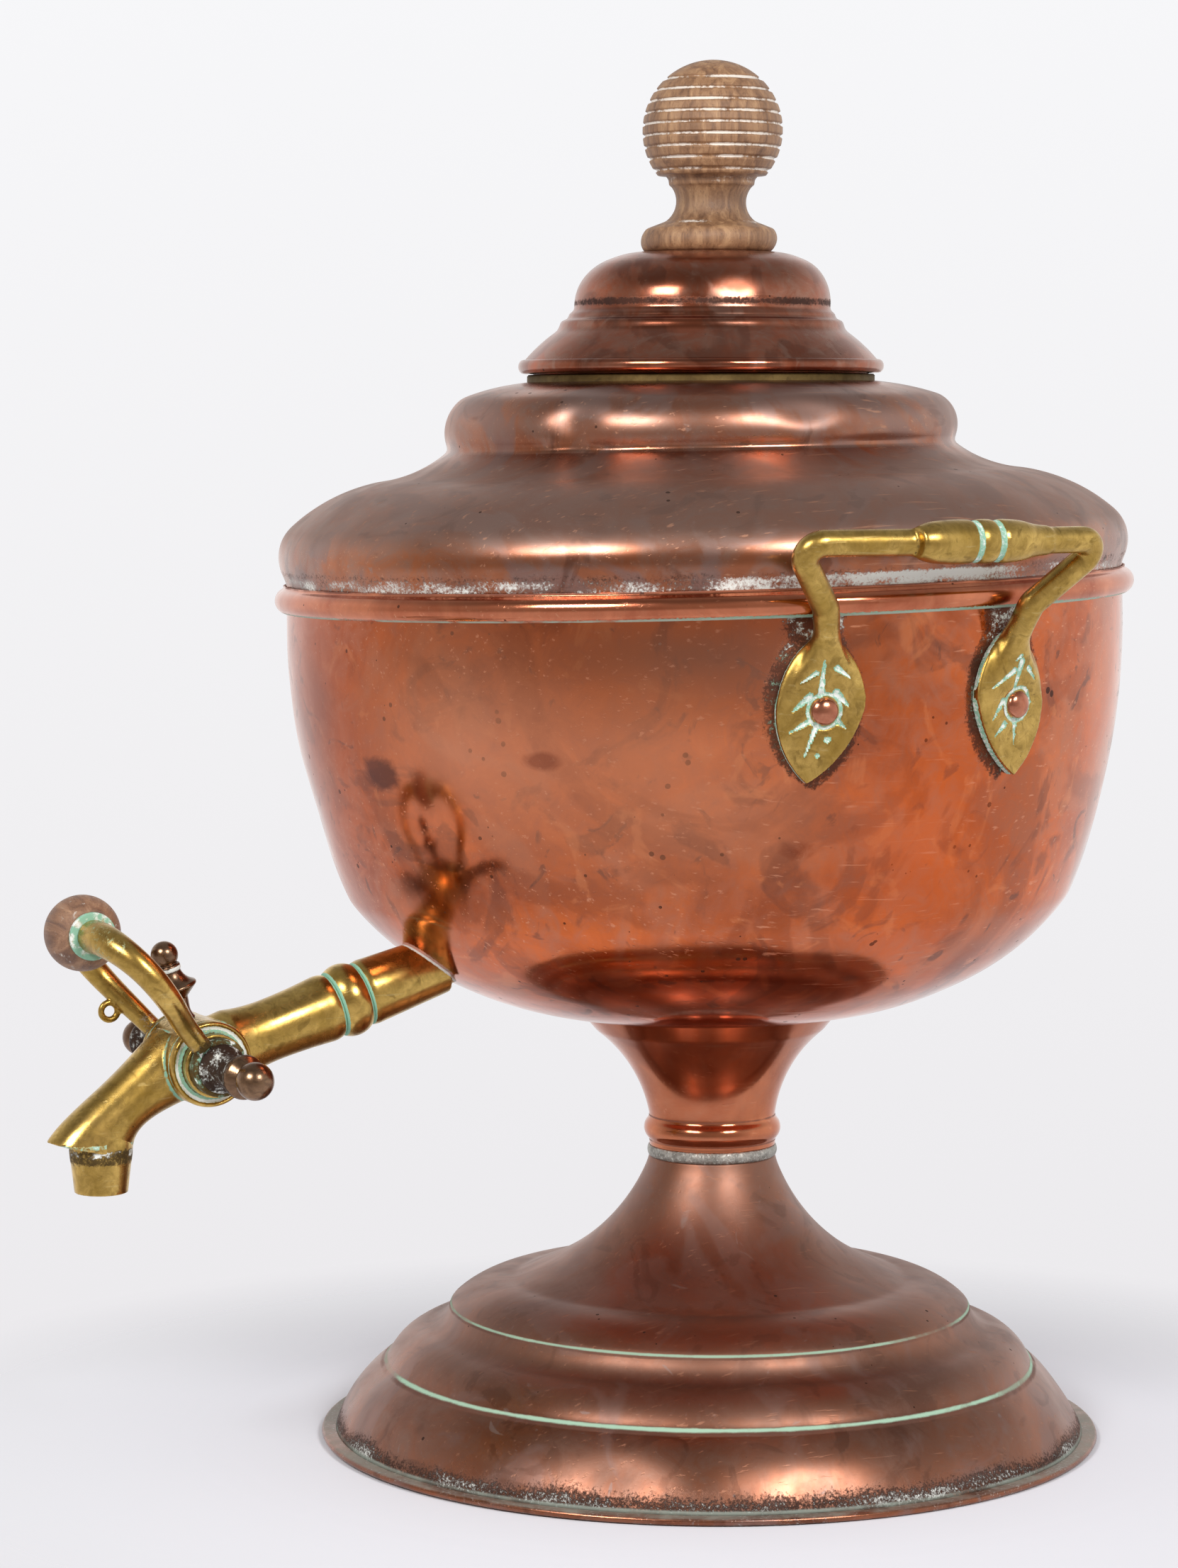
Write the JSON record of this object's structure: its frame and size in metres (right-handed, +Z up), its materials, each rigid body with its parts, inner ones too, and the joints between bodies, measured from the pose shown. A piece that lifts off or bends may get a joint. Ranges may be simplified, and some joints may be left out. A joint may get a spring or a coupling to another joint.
{
  "type": "samovar",
  "caption": "Copper tea urn on a spun foot, with a domed lid and wooden knob, two brass side handles, and a brass tap turned by a wooden-gripped yoke.",
  "frame": {"origin": "centre of the base's underside, on the table", "axes": "+Z up along the urn's axis, -Y towards the tap, +X towards one of the two side handles"},
  "size_m": [0.3144, 0.3509, 0.43],
  "materials": {
    "copper_bowl": "polished copper with stains",
    "copper_lid": "tarnished brown copper",
    "copper_foot": "tarnished brown copper",
    "brass": "polished brass with lime and verdigris in the recesses",
    "bronze": "dark bronze",
    "solder": "dull soft solder",
    "knob_wood": "bare turned wood with chalky grooves",
    "grip_wood": "bare turned wood with lime scale",
    "steel": "plain steel",
    "iron": "scaled cast iron"
  },
  "bodies": {
    "urn": {"base_plate": "copper_foot", "foot_shell": "copper_foot", "foot_solder_ring": "solder", "stem": "copper_bowl", "handle_right": "brass", "handle_left": "brass", "handle_rivets": "copper_bowl", "rivet_burrs": "copper_bowl", "bowl": "copper_bowl", "girdle_band": "copper_bowl", "shoulder": "copper_lid", "mouth_ring": "brass", "heater_sleeve": "copper_lid", "tap_shank": "brass", "tap_coupling": "brass", "tap_body": "brass", "tap_nozzle": "brass", "top_finial": "bronze"},
    "iron": {"heating_iron": "iron"},
    "lid": {"lid_shell": "copper_lid", "lid_rim": "copper_lid", "lid_plug_ring": "copper_lid", "knob": "knob_wood", "knob_washer": "steel", "knob_screw": "steel"},
    "tap_key": {"tap_plug": "brass", "plug_washer": "brass", "yoke_near_arm": "brass", "yoke_far_arm": "brass", "grip": "grip_wood", "grip_pin": "steel", "grip_ferrules": "brass", "near_finial": "bronze", "far_finial": "bronze"}
  },
  "joints": [
    {"name": "lid_lift", "type": "slide", "parent": "urn", "child": "lid", "axis": [0, 0, 1], "range_m": [0, 0.15]},
    {"name": "iron_lift", "type": "slide", "parent": "urn", "child": "iron", "axis": [0, 0, 1], "range_m": [0, 0.085]},
    {"name": "tap_turn", "type": "hinge", "parent": "urn", "child": "tap_key", "pos_m": [0, -0.171, 0.1296], "axis": [-1, 0, 0], "range_deg": [0, 80]}
  ]
}
